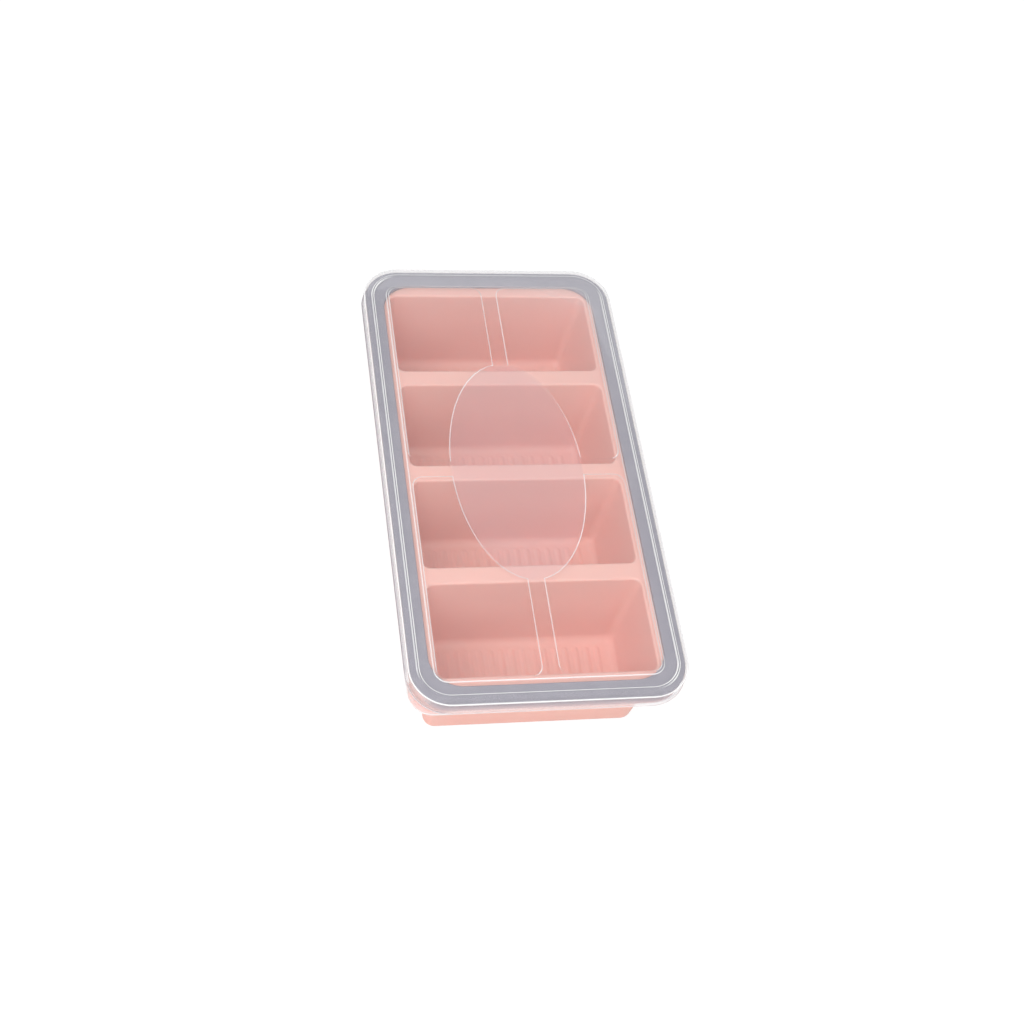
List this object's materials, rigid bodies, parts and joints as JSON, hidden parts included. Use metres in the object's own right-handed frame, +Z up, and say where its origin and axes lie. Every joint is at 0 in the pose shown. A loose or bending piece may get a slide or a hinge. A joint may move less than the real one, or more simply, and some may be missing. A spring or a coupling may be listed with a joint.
{
  "type": "baby food freezer tray",
  "caption": "Soft freezer tray with tapered cups in a row, wire-stiffened rim, clear press-on lid with a corner lift tab and a flat grey seal.",
  "frame": {"origin": "middle of the footprint, on the surface that the tray stands on", "axes": "+Z up, +Y along the row of cups away from the end with the lift tab, +X to the right seen from that end"},
  "size_m": [0.139, 0.267, 0.062],
  "materials": {
    "silicone": "satin moulded silicone, slightly translucent",
    "wire": "drawn stainless wire",
    "seal": "satin grey silicone",
    "clear_plastic": "clear gloss, lightly frosted in the oval"
  },
  "bodies": {
    "tray_body": {"tray": "silicone", "rim_frame": "wire"},
    "lid_body": {"lid": "clear_plastic", "lid_seal": "seal"}
  },
  "joints": [
    {"name": "lid_lift", "type": "slide", "parent": "tray_body", "child": "lid_body", "axis": [0, 0, 1], "range_m": [0, 0.08]}
  ]
}
